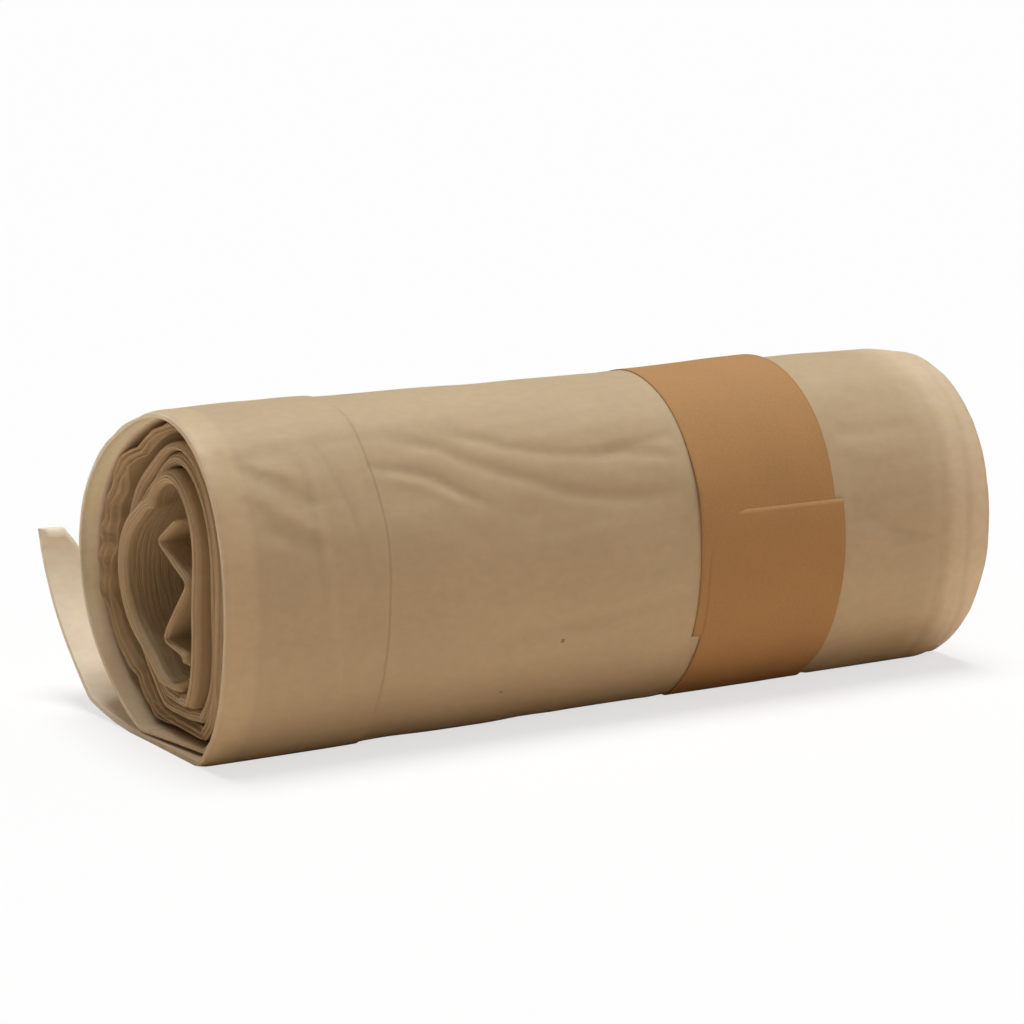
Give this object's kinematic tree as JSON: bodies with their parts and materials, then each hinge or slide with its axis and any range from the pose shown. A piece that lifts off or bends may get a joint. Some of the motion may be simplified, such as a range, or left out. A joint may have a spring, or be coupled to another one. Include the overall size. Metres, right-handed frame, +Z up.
{
  "type": "bin bag roll",
  "caption": "Roll of thin film bin bags wound round an empty middle, its outer end loose, held by a strip of kraft paper.",
  "frame": {"origin": "on the flat spot that the roll lies on, halfway along the roll and below its axis", "axes": "+X along the roll from the end with the loose corner to the other end, +Y towards the side where the loose end stands, +Z up"},
  "size_m": [0.16, 0.0782, 0.0591],
  "materials": {
    "film": "soft waxy sheen, slightly cloudy",
    "kraft_paper": "matte uncoated brown kraft paper"
  },
  "bodies": {
    "root": {"film_roll": "film", "paper_band": "kraft_paper"}
  },
  "joints": []
}
